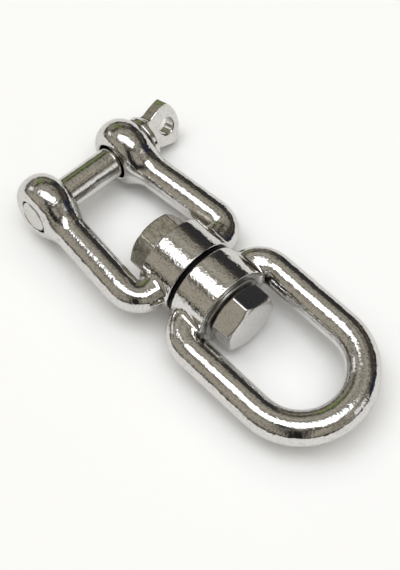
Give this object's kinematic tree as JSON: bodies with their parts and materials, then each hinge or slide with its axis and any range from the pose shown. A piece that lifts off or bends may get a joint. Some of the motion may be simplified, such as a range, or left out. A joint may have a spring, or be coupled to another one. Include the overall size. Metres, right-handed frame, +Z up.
{
  "type": "jaw and eye swivel",
  "caption": "Stainless rigging swivel: a U-shaped jaw with a screw pin and a long closed eye, on two hubs that turn on one bolt.",
  "frame": {"origin": "centre of the bolt head's flat outer face, on the swivel axis", "axes": "+X along the swivel axis from the jaw to the eye, +Y towards the screw pin's tab, +Z up from the surface it lies on"},
  "size_m": [0.0957, 0.0467, 0.02],
  "materials": {
    "polished_jaw": "mirror-polished cast stainless steel, slight ripple",
    "polished_eye": "mirror-polished cast stainless steel, slight ripple",
    "bolt_steel": "polished flats, satin face",
    "nut_steel": "grainy as-cast stainless steel",
    "washer_steel": "plain stainless steel",
    "washer_dark": "dark plain washer, in shadow",
    "pin_steel": "polished shank and collar, satin tab"
  },
  "bodies": {
    "jaw": {"jaw_body": "polished_jaw"},
    "eye": {"eye_body": "polished_eye"},
    "bolt": {"swivel_bolt": "bolt_steel", "swivel_nut": "nut_steel", "head_washer": "washer_steel", "thrust_washer": "washer_dark"},
    "pin": {"screw_pin": "pin_steel"}
  },
  "joints": [
    {"name": "eye_swivel", "type": "hinge", "parent": "jaw", "child": "eye", "pos_m": [-0.01635, 0, 0], "axis": [1, 0, 0], "continuous": true},
    {"name": "bolt_spin", "type": "hinge", "parent": "jaw", "child": "bolt", "pos_m": [-0.01635, 0, 0], "axis": [1, 0, 0], "continuous": true},
    {"name": "pin_withdraw", "type": "slide", "parent": "jaw", "child": "pin", "axis": [0, 0.9914, -0.1305], "range_m": [0, 0.0336]}
  ]
}
